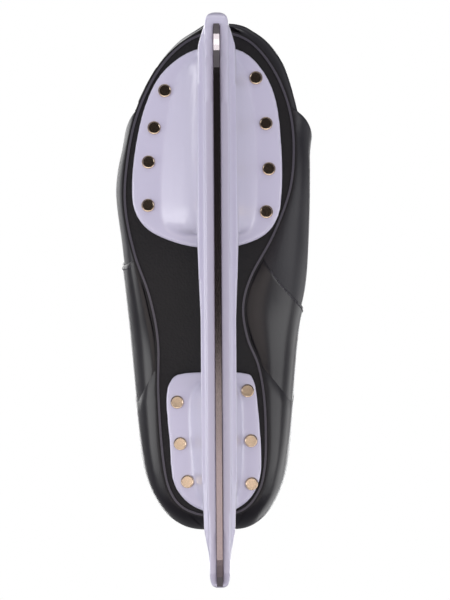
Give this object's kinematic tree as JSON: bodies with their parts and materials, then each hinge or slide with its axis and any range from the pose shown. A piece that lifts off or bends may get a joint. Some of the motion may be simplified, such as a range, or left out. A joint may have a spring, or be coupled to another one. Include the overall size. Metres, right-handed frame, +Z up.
{
  "type": "ice skate, right foot",
  "caption": "Black ice skate boot with a riveted white blade holder and a steel runner; the tongue top and the tendon guard flex",
  "frame": {"origin": "the middle of the runner's contact with the ice, on the blade's centre line", "axes": "+Z up away from the ice, -Y towards the toe, +X towards the inner (big toe) side of a right foot"},
  "size_m": [0.1058, 0.2974, 0.2667],
  "materials": {
    "steel": "ground, slightly worn",
    "holder_plastic": "glossy moulded",
    "nickel": "plated",
    "outsole_material": "pebbled",
    "board_fibre": "pressed fibre",
    "insole_foam": "cloth-faced foam",
    "toe_cap_plastic": "glossy moulded",
    "upper_synthetic": "glossy coated synthetic leather",
    "trim_synthetic": "glossy coated synthetic leather",
    "foam": "soft foam",
    "lining_cloth": "brushed knit",
    "binding_synthetic": "padded, soft",
    "lace_cord": "woven"
  },
  "bodies": {
    "boot": {"runner": "steel", "holder": "holder_plastic", "hook_bolts": "nickel", "bolt_nuts": "nickel", "outsole": "outsole_material", "bottom_filler": "board_fibre", "insole_board": "board_fibre", "footbed": "insole_foam", "front_rivets": "nickel", "rear_rivets": "nickel", "rivet_washers": "nickel", "toe_cap": "toe_cap_plastic", "vamp": "upper_synthetic", "lateral_quarter": "upper_synthetic", "medial_quarter": "upper_synthetic", "lateral_eyestay": "trim_synthetic", "medial_eyestay": "trim_synthetic", "lateral_eyelets": "nickel", "medial_eyelets": "nickel", "lateral_side_panel": "trim_synthetic", "medial_side_panel": "trim_synthetic", "heel_counter": "trim_synthetic", "backstay": "upper_synthetic", "lateral_padding": "foam", "medial_padding": "foam", "lining": "lining_cloth", "collar_binding": "binding_synthetic", "tongue": "upper_synthetic", "laces": "lace_cord"},
    "tongue_top": {"tongue_top": "upper_synthetic"},
    "tendon_guard": {"tendon_guard": "upper_synthetic", "tendon_guard_pad": "foam"}
  },
  "joints": [
    {"name": "tongue_flex", "type": "hinge", "parent": "boot", "child": "tongue_top", "pos_m": [0, 0.0178, 0.2118], "axis": [1, 0, 0], "range_deg": [-4, 40], "stiffness_Nm_per_rad": 0.8},
    {"name": "tendon_guard_flex", "type": "hinge", "parent": "boot", "child": "tendon_guard", "pos_m": [0, 0.1162, 0.22], "axis": [-1, 0, 0], "range_deg": [0, 25], "stiffness_Nm_per_rad": 1.5}
  ]
}
